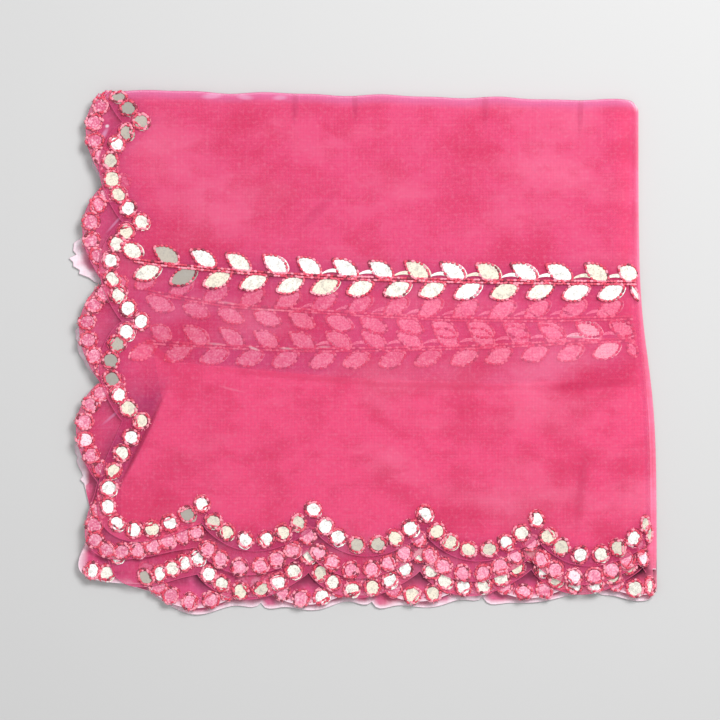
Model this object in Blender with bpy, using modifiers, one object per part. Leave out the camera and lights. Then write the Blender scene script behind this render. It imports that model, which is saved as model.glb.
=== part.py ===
"""A dupatta stole of sheer organza, folded to eight layers and laid flat on a table.

Metres, +Z up. The table is z = 0, +X runs along the packet's length to the fold on the right,
and +Y runs across it to the fold at the back. The left and front edges are cut edges of the
cloth, scalloped, with a chain of round mirrors that follows each scallop, and a leaf vine crosses
the top layer. The three upper layers are thin walls of their own. The five layers under them
share one solid, whose edges fan out layer by layer.
"""

import math

import bmesh
import bpy
from mathutils import Vector
from mathutils.geometry import delaunay_2d_cdt

# The middle of the packet's box in the plan's own coordinates. Each object is moved back by it.
PACKET_MIDDLE = Vector((0.0016, 0.0002, 0.0))

# The folds of the top layer: their lines, and the roll that carries the cloth down at each.
BACK_FOLD_Y = 0.2257
BACK_FOLD_SLOPE = -0.0205
RIGHT_FOLD_X = 0.2405
RIGHT_FOLD_SWING = 0.0110
CORNER_RADIUS = 0.009
ROLL_ROWS = 5

# The scalloped borders, and the mirrors on one scallop.
PITCH_LEFT = 0.0877
PITCH_FRONT = 0.0981
DEPTH_LEFT = 0.0273
DEPTH_FRONT = 0.0299
SCALLOP_SKEW = 0.87
SCALLOP_ROUNDNESS = 0.85
MIRROR_SHARES = (0.0, 0.105, 0.22, 0.39, 0.575, 0.728, 0.866)
CORNER_MIRRORS = 10
MIRROR_RADIUS = 0.0077
MIRROR_SIDES = 7
STITCH_BAND = 0.004

# The cut edge lies this far outside the mirrors, at a notch and at a lobe's tip.
NOTCH_MARGIN = 0.0165
LOBE_MARGIN = 0.0094
EDGE_SHARES = (0.0, 0.06, 0.16, 0.28, 0.41, 0.54, 0.67, 0.79, 0.90)
CORNER_SHARES = (0.0, 0.05, 0.12, 0.21, 0.31, 0.42, 0.53, 0.64, 0.75, 0.85, 0.94)

# Walls and gaps.
CLOTH = 0.0010
ORNAMENT = 0.0008
ORNAMENT_GAP = 0.0004
VINE_WELD = 0.0005

# The leaf vine: its line starts here, drops towards the middle, and runs level to the right fold.
VINE_START_X = -0.2143
VINE_START_Y = 0.0823
VINE_DROP = 0.0229
VINE_BEND = 0.1408
VINE_END_X = 0.2340
STEM_WIDTH = 0.0034
STEM_STEP = 0.0157
LEAF_LENGTH = 0.0232
LEAF_WIDTH = 0.0128
LEAF_PITCH = 0.0314
LEAF_OFFSET = 0.0086
UPPER_LEAVES = 13
LOWER_LEAVES = 14
UPPER_LEAF_X = -0.1729
LOWER_LEAF_X = -0.1905
UPPER_LEAF_TILT = math.radians(-33)
LOWER_LEAF_TILT = math.radians(23)

# Spacing of the points inside a wall: open cloth, and under ornament.
OPEN_SPACING = 0.034
ORNAMENT_SPACING = 0.0135

# The layers from the table up. under and thick give the wall's heights. notch_x and notch_y are
# the front edge's notch next to the corner, and slope the front edge's tilt. side_x and side_y are
# the left edge's notch next to the corner, and lean that edge's tilt. out_left and out_front say
# how far the corner's lobe swells, in scallop depths, and square how round it is. fan_back and
# fan_front are how far the right fold stands out past the top layer's, at its two ends, and fan_y
# is the same at the back fold. roll_right and roll_back are the radii of the wall's rolled edges.
COLUMNS = (
    "name", "under", "thick", "notch_x", "notch_y", "slope", "side_x", "side_y", "lean",
    "out_left", "out_front", "square", "fan_back", "fan_front", "fan_y", "roll_right", "roll_back",
)
ROWS = (
    ("table", 0.0000, 0.0018, -0.1888, -0.1888, 0.028, -0.2152, -0.1166, 0.030,
     1.20, 0.20, 0.36, 0.0026, 0.0070, 0.0006, 0.0, 0.0),
    ("fifth", 0.0027, 0.0015, -0.1430, -0.1773, 0.015, -0.2072, -0.1351, 0.030,
     0.50, 0.80, 0.55, 0.0014, 0.0052, -0.0006, 0.0, 0.0),
    ("fourth", 0.0050, 0.0014, -0.1914, -0.1923, 0.030, -0.2178, -0.1192, 0.030,
     1.23, 0.20, 0.35, -0.0038, -0.0038, -0.0018, 0.0, 0.0),
    ("third", 0.0068, CLOTH, -0.1465, -0.1817, 0.015, -0.2099, -0.1307, 0.030,
     0.50, 0.85, 0.55, -0.0018, -0.0018, 0.0003, 0.0024, 0.0024),
    ("second", 0.0096, CLOTH, -0.1474, -0.1588, -0.030, -0.2204, -0.1148, 0.032,
     0.95, 0.80, 0.50, -0.0050, -0.0050, -0.0020, 0.0, 0.0),
    ("top", 0.0110, CLOTH, -0.1421, -0.1342, -0.045, -0.1954, -0.0612, 0.0,
     1.50, 1.15, 0.60, 0.0, 0.0, 0.0, 0.0060, 0.0026),
)
LAYERS = {row[0]: dict(zip(COLUMNS, row)) for row in ROWS}
HIDDEN = ("table", "fifth", "fourth")
LIP = 0.0005

# The root from which the hidden layers fan out: a rounded plan inside all their notches.
ROOT_LEFT = -0.178
ROOT_FRONT = -0.150
ROOT_RIGHT = 0.2330
ROOT_BACK = 0.2140
ROOT_CORNER = 0.030

# Soft folds of the top layer: middle, half length and half width, direction in degrees, and lift.
RIDGE_COLUMNS = ("x", "y", "along", "across", "turn", "lift")
RIDGES = (
    (-0.150, 0.010, 0.070, 0.020, 62, 0.0012),
    (-0.080, 0.140, 0.100, 0.024, 18, 0.0014),
    (0.085, 0.170, 0.110, 0.026, -12, 0.0013),
    (0.180, 0.105, 0.030, 0.070, 4, 0.0011),
    (0.020, 0.015, 0.150, 0.018, -3, 0.0011),
    (-0.115, -0.075, 0.070, 0.020, 58, 0.0013),
    (0.140, -0.070, 0.024, 0.060, 10, 0.0012),
)

ORGANZA_PINK = (0.80, 0.075, 0.20)
HIDDEN_PINK = (0.70, 0.050, 0.16)
FOIL = (0.92, 0.91, 0.87)


def clear_scene():
    for obj in list(bpy.data.objects):
        bpy.data.objects.remove(obj)


def material(name, colour, roughness, metallic):
    made = bpy.data.materials.new(name)
    made.use_nodes = True
    shader = made.node_tree.nodes["Principled BSDF"]
    shader.inputs["Base Color"].default_value = (*colour, 1.0)
    shader.inputs["Roughness"].default_value = roughness
    shader.inputs["Metallic"].default_value = metallic
    return made


def puff(x, y):
    """The packet's thickness at a place, as a share of its nominal one: soft waves, most at the cut edges."""
    near_front = max(0.0, min(1.0, (-0.05 - y) / 0.15))
    near_left = max(0.0, min(1.0, (-0.10 - x) / 0.13))
    front_wave = math.sin(x / 0.0185 + 0.6) + 0.6 * math.sin(x / 0.0410 + 2.0)
    left_wave = math.sin(y / 0.0170 - 0.4) + 0.6 * math.sin(y / 0.0390 + 0.9)
    broad = math.sin(x / 0.090 + 1.0) * math.cos(y / 0.075 - 0.4)
    return 1.0 + 0.045 * near_front * front_wave + 0.040 * near_left * left_wave + 0.035 * broad


def ridge_lift(x, y):
    """Height that the soft creases add to the top layer."""
    lift = 0.0
    for row in RIDGES:
        ridge = dict(zip(RIDGE_COLUMNS, row))
        turn = math.radians(ridge["turn"])
        dx, dy = x - ridge["x"], y - ridge["y"]
        along = (dx * math.cos(turn) + dy * math.sin(turn)) / ridge["along"]
        across = (dy * math.cos(turn) - dx * math.sin(turn)) / ridge["across"]
        lift += ridge["lift"] * math.exp(-along * along - across * across)
    return lift


def back_fold(layer, x):
    """The back fold's line, with the small ripples of folded cloth."""
    ripple = 0.0008 * math.sin(x / 0.0155) + 0.0005 * math.sin(x / 0.0083)
    return BACK_FOLD_Y + BACK_FOLD_SLOPE * x + ripple + layer["fan_y"]


def right_fold(layer, y):
    """The right fold's line, which swings out towards the front."""
    swing = 0.5 - 0.5 * math.tanh((y + 0.005) / 0.060)
    fan = layer["fan_back"] + (layer["fan_front"] - layer["fan_back"]) * swing
    return RIGHT_FOLD_X + RIGHT_FOLD_SWING * swing + fan


def scallop(share):
    """Depth of a scallop, 0 at its notches and 1 at its lobe; the side after a notch is steeper."""
    return math.sin(math.pi * (share % 1.0) ** SCALLOP_SKEW) ** SCALLOP_ROUNDNESS


def left_point(layer, share, margin):
    """A plan point on the left border. share counts scallops from the notch next to the corner, back along the edge."""
    y = layer["side_y"] + share * PITCH_LEFT
    notch, lobe = margin
    depth = notch + (DEPTH_LEFT + lobe - notch) * scallop(-share)
    return Vector((layer["side_x"] + layer["lean"] * (y - layer["side_y"]) - depth, y))


def front_point(layer, share, margin):
    """A plan point on the front border. share counts scallops from the notch next to the corner, to the right."""
    x = layer["notch_x"] + share * PITCH_FRONT
    notch, lobe = margin
    depth = notch + (DEPTH_FRONT + lobe - notch) * scallop(share)
    return Vector((x, layer["notch_y"] + layer["slope"] * (x - layer["notch_x"]) - depth))


def corner_point(layer, share, margin):
    """A plan point on the lobe that turns the corner, from the last left notch to the first front notch."""
    notch, lobe = margin
    swell = math.sin(math.pi * share) ** 0.7
    outside = notch + (lobe - notch) * swell
    angle = share * math.pi / 2
    reach_x = layer["notch_x"] - layer["side_x"] + outside + DEPTH_LEFT * layer["out_left"] * swell
    reach_y = layer["side_y"] - layer["notch_y"] + outside + DEPTH_FRONT * layer["out_front"] * swell
    return Vector((
        layer["notch_x"] - reach_x * max(math.cos(angle), 0.0) ** layer["square"],
        layer["side_y"] - reach_y * max(math.sin(angle), 0.0) ** layer["square"],
    ))


def cut_edge(layer):
    """The cut edge in plan, from the back fold down the left side, round the corner and along the front."""
    margin = (NOTCH_MARGIN, LOBE_MARGIN)
    flat_back = layer["roll_back"]
    flat_right = layer["roll_right"]
    top_share = (back_fold(layer, layer["side_x"]) - flat_back - layer["side_y"]) / PITCH_LEFT
    left = [number + 1 - share for number in range(int(top_share), -1, -1) for share in EDGE_SHARES]
    points = [left_point(layer, top_share, margin)]
    points += [left_point(layer, share, margin) for share in left if share < top_share - 0.04]
    points += [corner_point(layer, share, margin) for share in CORNER_SHARES]
    end_x = right_fold(layer, layer["notch_y"]) - flat_right
    end_share = (end_x - layer["notch_x"]) / PITCH_FRONT
    front = [number + share for number in range(int(end_share) + 1) for share in EDGE_SHARES]
    points += [front_point(layer, share, margin) for share in front if share < end_share - 0.04]
    points.append(front_point(layer, end_share, margin))
    return points


def steps(low, high, count):
    """count values from low to high, both included."""
    return [low + (high - low) * i / (count - 1) for i in range(count)]


def fold_line(layer, start_y, end_x):
    """Where the flat cloth ends, from the front end of the right fold, round the corner, to the back fold's left end."""
    inset_x, inset_y = layer["roll_right"], layer["roll_back"]
    corner_x = right_fold(layer, BACK_FOLD_Y) - inset_x
    corner_y = back_fold(layer, corner_x) - inset_y
    radius_x = max(CORNER_RADIUS - inset_x, 0.003)
    radius_y = max(CORNER_RADIUS - inset_y, 0.003)
    right = [
        Vector((right_fold(layer, y) - inset_x, y))
        for y in steps(start_y, corner_y - radius_y, 13)
    ]
    turn = [
        Vector((
            corner_x - radius_x * (1.0 - math.cos(angle)),
            corner_y - radius_y * (1.0 - math.sin(angle)),
        ))
        for angle in steps(0.0, math.pi / 2, 5)[1:-1]
    ]
    back = [
        Vector((x, back_fold(layer, x) - inset_y))
        for x in steps(corner_x - radius_x, end_x, 17)
    ]
    return right + turn + back


def outline(layer):
    """The flat part of a layer in plan, anticlockwise, with the count of its cut edge's points."""
    edge = cut_edge(layer)
    folds = fold_line(layer, edge[-1].y, edge[0].x)
    return edge[:-1] + folds[:-1], len(edge) - 1


def shrunk(points, inset):
    """A plan outline moved in by a small inset."""
    moved = []
    for i, point in enumerate(points):
        run = (points[(i + 1) % len(points)] - points[i - 1]).normalized()
        moved.append(point + Vector((-run.y, run.x)) * inset)
    return moved


def root_outline():
    """The rounded plan from which the hidden layers fan out."""
    corners = (
        (ROOT_LEFT + ROOT_CORNER, ROOT_BACK - ROOT_CORNER, 90),
        (ROOT_LEFT + ROOT_CORNER, ROOT_FRONT + ROOT_CORNER, 180),
        (ROOT_RIGHT - ROOT_CORNER, ROOT_FRONT + ROOT_CORNER, 270),
        (ROOT_RIGHT - ROOT_CORNER, ROOT_BACK - ROOT_CORNER, 0),
    )
    return [
        Vector((x + ROOT_CORNER * math.cos(angle), y + ROOT_CORNER * math.sin(angle)))
        for x, y, start in corners
        for angle in steps(math.radians(start), math.radians(start + 90), 6)
    ]


def inside(points, place):
    """True if a plan place is inside a closed outline."""
    crossings = 0
    for a, b in zip(points, points[1:] + points[:1]):
        if (a.y > place.y) != (b.y > place.y):
            crossings += place.x < a.x + (place.y - a.y) * (b.x - a.x) / (b.y - a.y)
    return crossings % 2 == 1


def edge_distance(points, place):
    """Distance in plan from a place to a closed outline."""
    nearest = math.inf
    for a, b in zip(points, points[1:] + points[:1]):
        edge = b - a
        along = max(0.0, min(1.0, (place - a).dot(edge) / max(edge.length_squared, 1e-12)))
        nearest = min(nearest, (a + edge * along - place).length)
    return nearest


def lattice(points, spacing, clear_of=()):
    """Evenly spaced places inside an outline, in offset rows, apart from the places in clear_of."""
    xs = [p.x for p in points]
    ys = [p.y for p in points]
    row_height = spacing * math.sqrt(0.75)
    found = []
    for row in range(int((max(ys) - min(ys)) / row_height) + 1):
        for column in range(int((max(xs) - min(xs)) / spacing) + 2):
            x = min(xs) + (column + 0.5 * (row % 2)) * spacing
            place = Vector((x, min(ys) + row * row_height))
            if not inside(points, place) or edge_distance(points, place) < spacing * 0.5:
                continue
            if all((place - other).length > spacing * 0.65 for other in clear_of):
                found.append(place)
    return found


def triangles_of(boundary, hole=(), inner=()):
    """Blender's constrained triangulation inside a boundary and outside a hole, through inner places."""
    first = len(boundary)
    shapes = [list(range(first))]
    if hole:
        shapes.append(list(range(first, first + len(hole))))
    places = list(boundary) + list(hole) + list(inner)
    _, _, faces, _, _, shapes_of = delaunay_2d_cdt(places, [], shapes, 1, 1e-7)
    return [face for face, found in zip(faces, shapes_of) if 1 not in found]


def object_from(name, mesh, look, collection):
    data = bpy.data.meshes.new(name)
    mesh.to_mesh(data)
    mesh.free()
    data.materials.append(look)
    obj = bpy.data.objects.new(name, data)
    obj.location = -PACKET_MIDDLE
    collection.objects.link(obj)
    return obj


def ring_of(mesh, points, height):
    return [mesh.verts.new((p.x, p.y, height * puff(p.x, p.y))) for p in points]


def band(mesh, lower, upper):
    """Side faces between two rings of equal length."""
    for i in range(len(lower)):
        after = (i + 1) % len(lower)
        mesh.faces.new((lower[i], lower[after], upper[after], upper[i]))


def annulus(mesh, outer_points, outer, root_points, root, facing_up):
    """A level face between a layer's outline and the root."""
    corners = outer + root
    for face in triangles_of(outer_points, hole=root_points):
        order = face if facing_up else reversed(face)
        mesh.faces.new([corners[i] for i in order])


def folded_core(look, collection):
    """The hidden layers: one solid, its walls fanned out round a common root."""
    mesh = bmesh.new()
    root_points = root_outline()
    root = None
    for name in HIDDEN:
        layer = LAYERS[name]
        points, _ = outline(layer)
        under, over = layer["under"], layer["under"] + layer["thick"]
        rounded = shrunk(points, LIP)
        rings = [
            ring_of(mesh, shape, height)
            for shape, height in (
                (rounded, under),
                (points, under + layer["thick"] * 0.35),
                (points, under + layer["thick"] * 0.70),
                (rounded, over),
            )
        ]
        for lower, upper in zip(rings, rings[1:]):
            band(mesh, lower, upper)
        if root is None:
            for face in triangles_of(rounded):
                mesh.faces.new([rings[0][i] for i in reversed(face)])
        else:
            next_root = ring_of(mesh, root_points, under)
            band(mesh, root, next_root)
            annulus(mesh, rounded, rings[0], root_points, next_root, facing_up=False)
        if name != HIDDEN[-1]:
            root = ring_of(mesh, root_points, over)
            annulus(mesh, rounded, rings[-1], root_points, root, facing_up=True)
            continue
        inner = lattice(rounded, OPEN_SPACING)
        corners = rings[-1] + ring_of(mesh, inner, over)
        for face in triangles_of(rounded, inner=inner):
            mesh.faces.new([corners[i] for i in face])
    return object_from("folded_core", mesh, look, collection)


def roll_drop(layer, x, y):
    """How far the cloth has come down where it rolls over a fold."""
    drop = 0.0
    for radius, past in (
        (layer["roll_right"], x - right_fold(layer, y) + layer["roll_right"]),
        (layer["roll_back"], y - back_fold(layer, x) + layer["roll_back"]),
    ):
        reach = min(max(past, 0.0), radius * 0.9)
        drop += radius - math.sqrt(radius * radius - reach * reach)
    return drop


def cloth_height(layer, x, y):
    """The upper face of a layer's wall."""
    flat = (layer["under"] + layer["thick"]) * puff(x, y) - roll_drop(layer, x, y)
    return flat + ridge_lift(x, y) if layer["name"] == "top" else flat


def roll_over(mesh, layer, line):
    """Carries a wall on from its fold line, down and round the fold."""
    flat = [vertex.co.copy() for vertex in line]
    outward = []
    for i in range(len(flat)):
        before, after = flat[max(i - 1, 0)], flat[min(i + 1, len(flat) - 1)]
        run = (after - before).to_2d().normalized()
        outward.append(Vector((run.y, -run.x, 0.0)))
    previous = line
    for row in range(1, ROLL_ROWS + 1):
        current = []
        for point, out in zip(flat, outward):
            share = out.y * out.y
            radius = layer["roll_right"] * (1.0 - share) + layer["roll_back"] * share
            turn = math.radians(100 + 20 * share) * row / ROLL_ROWS
            drop = Vector((0.0, 0.0, radius * (1.0 - math.cos(turn))))
            current.append(mesh.verts.new(point + out * radius * math.sin(turn) - drop))
        for i in range(len(line) - 1):
            mesh.faces.new((previous[i], current[i], current[i + 1], previous[i + 1]))
        previous = current


def cloth_wall(name, layer, ornamented, look, collection):
    """One layer of cloth: a wall with scalloped cut edges, rolled over its folds where it has rolls."""
    points, edge_count = outline(layer)
    fine = [place for place in lattice(points, ORNAMENT_SPACING) if ornamented(place)]
    inner = fine + lattice(points, OPEN_SPACING, clear_of=fine)
    mesh = bmesh.new()
    corners = [
        mesh.verts.new((p.x, p.y, cloth_height(layer, p.x, p.y))) for p in points + inner
    ]
    for face in triangles_of(points, inner=inner):
        mesh.faces.new([corners[i] for i in face])
    if layer["roll_back"]:
        roll_over(mesh, layer, corners[edge_count:len(points)] + corners[:1])
    obj = object_from(name, mesh, look, collection)
    obj.data.shade_smooth()
    wall = obj.modifiers.new("Wall", "SOLIDIFY")
    wall.thickness = layer["thick"]
    wall.offset = -1.0
    return obj


def mirror_centres(layer):
    """Mirror centres of a layer's border, from the back fold to the right fold."""
    margin = (0.0, 0.0)
    top_share = (BACK_FOLD_Y - layer["side_y"]) / PITCH_LEFT
    left = [number + 1 - share for number in range(int(top_share), -1, -1) for share in MIRROR_SHARES]
    centres = [left_point(layer, share, margin) for share in left]
    fine = [corner_point(layer, share, margin) for share in steps(0.0, 1.0, 200)]
    length = sum((b - a).length for a, b in zip(fine, fine[1:]))
    spacing = length / (CORNER_MIRRORS + 1)
    centres.append(fine[0])
    walked = 0.0
    for a, b in zip(fine, fine[1:]):
        before = int(walked / spacing)
        walked += (b - a).length
        if int(walked / spacing) > before and walked < length - spacing / 2:
            centres.append(b)
    end_share = (RIGHT_FOLD_X + RIGHT_FOLD_SWING - layer["notch_x"]) / PITCH_FRONT
    front = [number + share for number in range(int(end_share) + 1) for share in MIRROR_SHARES]
    return centres + [front_point(layer, share, margin) for share in front]


def polygon(centre, radius, sides):
    return [
        centre + Vector((math.cos(angle), math.sin(angle))) * radius
        for angle in steps(0.0, 2 * math.pi, sides + 1)[:-1]
    ]


def ribbon(line, width):
    """A band of even width along a plan line."""
    sides = []
    for i in range(len(line)):
        run = line[min(i + 1, len(line) - 1)] - line[max(i - 1, 0)]
        sides.append(run.normalized().orthogonal() * width / 2)
    right = [point - side for point, side in zip(line, sides)]
    left = [point + side for point, side in zip(line, sides)]
    return right + left[::-1]


def ornament(name, shapes, weld, layer, look, collection):
    """Overlapping plan shapes as one thin plate that follows the cloth under it, a gap above it."""
    points, edges, faces = [], [], []
    for shape in shapes:
        first = len(points)
        points += shape
        faces.append(list(range(first, len(points))))
    flat, _, triangles, *_ = delaunay_2d_cdt(points, edges, faces, 1, 1e-6)
    mesh = bmesh.new()
    corners = [
        mesh.verts.new((p.x, p.y, cloth_height(layer, p.x, p.y) + ORNAMENT_GAP)) for p in flat
    ]
    for triangle in triangles:
        mesh.faces.new([corners[i] for i in triangle])
    bmesh.ops.remove_doubles(mesh, verts=mesh.verts, dist=weld)
    loose = [vertex for vertex in mesh.verts if not vertex.link_faces]
    bmesh.ops.delete(mesh, geom=loose, context="VERTS")
    obj = object_from(name, mesh, look, collection)
    plate = obj.modifiers.new("Plate", "SOLIDIFY")
    plate.thickness = ORNAMENT
    plate.offset = 1.0
    return obj


def mirror_shapes(layer, keep):
    """Each mirror with its ring of thread, and the stitching that runs from one to the next."""
    centres = [centre for centre in mirror_centres(layer) if keep(centre)]
    shapes = [polygon(centre, MIRROR_RADIUS, MIRROR_SIDES) for centre in centres]
    return shapes + [ribbon(pair, STITCH_BAND) for pair in zip(centres, centres[1:])]


def vine_y(x):
    """The vine's line: it drops from its left end and then runs level."""
    return VINE_START_Y - VINE_DROP * (1.0 - math.exp(-(x - VINE_START_X) / VINE_BEND))


def leaf(x, offset, tilt):
    """A pointed leaf beside the stem."""
    centre = Vector((x, vine_y(x) + offset))
    along = Vector((math.cos(tilt), math.sin(tilt))) * LEAF_LENGTH / 2
    across = Vector((-math.sin(tilt), math.cos(tilt))) * LEAF_WIDTH / 2
    sides = ((-0.62, 0.66), (0.0, 1.0), (0.62, 0.66))
    lower = [centre + along * share - across * width for share, width in sides]
    upper = [centre + along * share + across * width for share, width in reversed(sides)]
    return [centre - along] + lower + [centre + along] + upper


def vine_shapes():
    """The stem, and leaves on both sides of it in turn."""
    count = int((VINE_END_X - LOWER_LEAF_X) / STEM_STEP)
    stem = [Vector((x, vine_y(x))) for x in steps(LOWER_LEAF_X, VINE_END_X, count)]
    shapes = [ribbon(stem, STEM_WIDTH)]
    for first_x, count, offset, tilt in (
        (UPPER_LEAF_X, UPPER_LEAVES, LEAF_OFFSET, UPPER_LEAF_TILT),
        (LOWER_LEAF_X, LOWER_LEAVES, -LEAF_OFFSET, LOWER_LEAF_TILT),
    ):
        for number in range(count):
            x = first_x + number * LEAF_PITCH
            shapes.append(leaf(x, offset, tilt))
            stalk = (Vector((x, vine_y(x) + offset)), Vector((x, vine_y(x))))
            shapes.append(ribbon(stalk, STEM_WIDTH))
    return shapes


def near_front_mirrors(layer, place):
    share = (place.x - layer["notch_x"]) / PITCH_FRONT
    return place.y - front_point(layer, share, (0.0, 0.0)).y < 0.016


def near_left_mirrors(layer, place):
    share = (place.y - layer["side_y"]) / PITCH_LEFT
    return place.x - left_point(layer, share, (0.0, 0.0)).x < 0.016


def main():
    clear_scene()
    collection = bpy.data.collections.new("dupatta_stole")
    bpy.context.scene.collection.children.link(collection)
    organza = material("organza", ORGANZA_PINK, 0.55, 0.0)
    hidden_organza = material("organza_in_layers", HIDDEN_PINK, 0.60, 0.0)
    foil = material("mirror_foil", FOIL, 0.25, 0.8)
    top, second, third = LAYERS["top"], LAYERS["second"], LAYERS["third"]

    folded_core(hidden_organza, collection)
    cloth_wall("third_layer", third, lambda p: near_front_mirrors(third, p), organza, collection)
    cloth_wall("second_layer", second, lambda p: False, organza, collection)
    cloth_wall(
        "top_layer",
        top,
        lambda p: near_front_mirrors(top, p) or near_left_mirrors(top, p) or abs(p.y - vine_y(p.x)) < 0.020,
        organza,
        collection,
    )

    back_limit = back_fold(top, top["side_x"]) - top["roll_back"] - MIRROR_RADIUS
    right_limit = right_fold(top, top["notch_y"]) - top["roll_right"] * 0.3 - MIRROR_RADIUS
    shapes = mirror_shapes(top, lambda c: c.y < back_limit and c.x < right_limit)
    ornament("top_mirror_border", shapes, 0.0, top, foil, collection)

    right_limit = right_fold(third, third["notch_y"]) - third["roll_right"] - MIRROR_RADIUS
    shapes = mirror_shapes(third, lambda c: third["side_x"] * 1.05 < c.x < right_limit and c.y < -0.17)
    ornament("third_mirror_border", shapes, 0.0, third, foil, collection)

    ornament("leaf_vine", vine_shapes(), VINE_WELD, top, foil, collection)


main()
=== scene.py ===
"""The looks of a dupatta stole of sheer hot-pink organza, folded to eight layers and laid on a table.

Metres, +Z up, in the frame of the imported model. The table is z = 0, the right fold is at +X and
the back fold at +Y. The left and front edges are scalloped cut edges with a chain of round foil
mirrors, and a leaf vine runs across each layer. Odd layers lie right side up, with bare foil. Even
layers lie wrong side up, so their foil shows pink through their own cloth, and their vine is
mirrored. Every layer is a sheer sheet, and what lies under it shines through.
"""

import random
from math import atan, atan2, cos, exp, hypot, pi, radians, sin, sqrt, tanh

import bmesh
import bpy
from mathutils import Matrix, Vector
from mathutils.kdtree import KDTree


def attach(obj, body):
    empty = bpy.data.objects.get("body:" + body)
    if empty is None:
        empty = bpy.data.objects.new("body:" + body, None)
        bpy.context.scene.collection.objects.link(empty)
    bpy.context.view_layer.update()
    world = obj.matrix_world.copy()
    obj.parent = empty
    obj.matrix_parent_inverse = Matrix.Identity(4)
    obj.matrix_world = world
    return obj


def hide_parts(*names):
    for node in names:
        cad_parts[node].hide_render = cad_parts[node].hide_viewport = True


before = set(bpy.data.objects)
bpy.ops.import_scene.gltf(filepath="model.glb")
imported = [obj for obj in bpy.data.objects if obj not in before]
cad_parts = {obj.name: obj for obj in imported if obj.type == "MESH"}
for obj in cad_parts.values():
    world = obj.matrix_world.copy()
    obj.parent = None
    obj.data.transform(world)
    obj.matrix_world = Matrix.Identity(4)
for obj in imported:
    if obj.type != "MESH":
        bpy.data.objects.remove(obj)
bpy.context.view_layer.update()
draw = random.Random(41)

# The middle of the packet's box in the plan's own coordinates. Each finished mesh is moved back by it.
PACKET_MIDDLE = Vector((0.0016, 0.0002, 0.0))

# The folds of the top layer: their lines, and the roll that carries the cloth down at each. The roll
# turns a little further at the back, and the right one is flattened at its front end.
BACK_FOLD_Y = 0.2257
BACK_FOLD_SLOPE = -0.0205
RIGHT_FOLD_X = 0.2405
RIGHT_FOLD_SWING = 0.0126
CORNER_RADIUS = 0.009
ROLL_ROWS = 8
ROLL_DEGREES = 100
BACK_ROLL_MORE = 20
FLATTENED = 0.85
FLATTENED_REACH = 0.016

# The scalloped borders, and the mirrors on one scallop.
PITCH_LEFT = 0.0877
PITCH_FRONT = 0.0981
DEPTH_LEFT = 0.0273
DEPTH_FRONT = 0.0299
SCALLOP_SKEW = 0.87
SCALLOP_ROUNDNESS = 0.85
MIRROR_SHARES = (0.0, 0.105, 0.22, 0.39, 0.575, 0.728, 0.866)
CORNER_MIRRORS = 10
NOTCH_MARGIN = 0.0165
LOBE_MARGIN = 0.0094
ON_CHAIN = (0.0, 0.0)
EDGE_STEPS = 26
CORNER_STEPS = 40

# How unevenly the packet lies, as shares of its thickness, and how far its cut edges flutter.
FRONT_PUFF = 0.045
LEFT_PUFF = 0.040
BROAD_PUFF = 0.035
FLUTTER = 0.00042

# The cells of the sheets, the radius of their hems, how high the hidden flap lies over the second
# layer, and the spacing at which the weave is drawn.
CELL = 0.0045
TOP_CELL = 0.0035
FLAP_CELL = 0.008
HEM_RADIUS = 0.00042
FLAP_LIFT = 0.0006
WEAVE_SPACING = 0.0013

# One mirror: its foil, the ring of chain stitch that holds it, and the loose ticks round the ring.
FOIL_RADIUS = 0.0060
RING_RADIUS = 0.0071
RING_LINKS = 17
TICK_RADIUS = 0.0086
TICKS = 16
TICK_WIDTH = 0.0007
LINK_LENGTH = 0.0034
LINK_WIDTH = 0.0024
THREAD_RADIUS = 0.00050

# The share of mirrors with three links across them, the shares of mirrors and of leaves with a second
# foil that has slipped out from below, and how much lower that one lies.
CROSSED_SHARE = 0.45
CROSSING_PITCH = 0.0030
SLIPPED_SHARE = 0.62
SLIPPED_LEAVES = 0.4
SLIP_DEPTH = 0.00012

# How high foil and thread lie over a layer that is right side up or wrong side up. The third layer's
# vine is drawn at the height of the second layer.
RIGHT_SIDE_LIFTS = (0.0004, 0.0007)
WRONG_SIDE_LIFTS = (0.0003, 0.0006)
THIRD_VINE_LIFTS = (0.0029, 0.0030)

# The leaf vines: the line of the top one, the leaves and the links round each. A leaf's foil and the
# first upper leaf are shares of a whole one, a leaf that lies past the fold by HIDDEN_LEAF of its
# length is left out, and the stem's links follow one another at STEM_PITCH of theirs.
VINE_START_X = -0.2143
VINE_START_Y = 0.0823
VINE_DROP = 0.0229
VINE_BEND = 0.1408
LEAF_LENGTH = 0.0252
LEAF_WIDTH = 0.0132
LEAF_PITCH = 0.0314
LEAF_OFFSET = 0.0086
LEAF_LINKS = 20
LEAF_FOIL = 0.92
LEAF_CROWN = 0.006
MOST_LEAVES = 16
FIRST_LEAF = 0.8
HIDDEN_LEAF = 0.8
STEM_PITCH = 0.86
UPPER_LEAF_TILT = radians(-33)
LOWER_LEAF_TILT = radians(23)

# Foil piping that arches over the stem between one upper leaf and the next.
PIPING_START_X = -0.045
PIPING_SIZE = (0.0115, 0.0040, 0.004)
PIPING_SHIFT = (-0.009, 0.0022)
PIPING_TURN = -0.12

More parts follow.
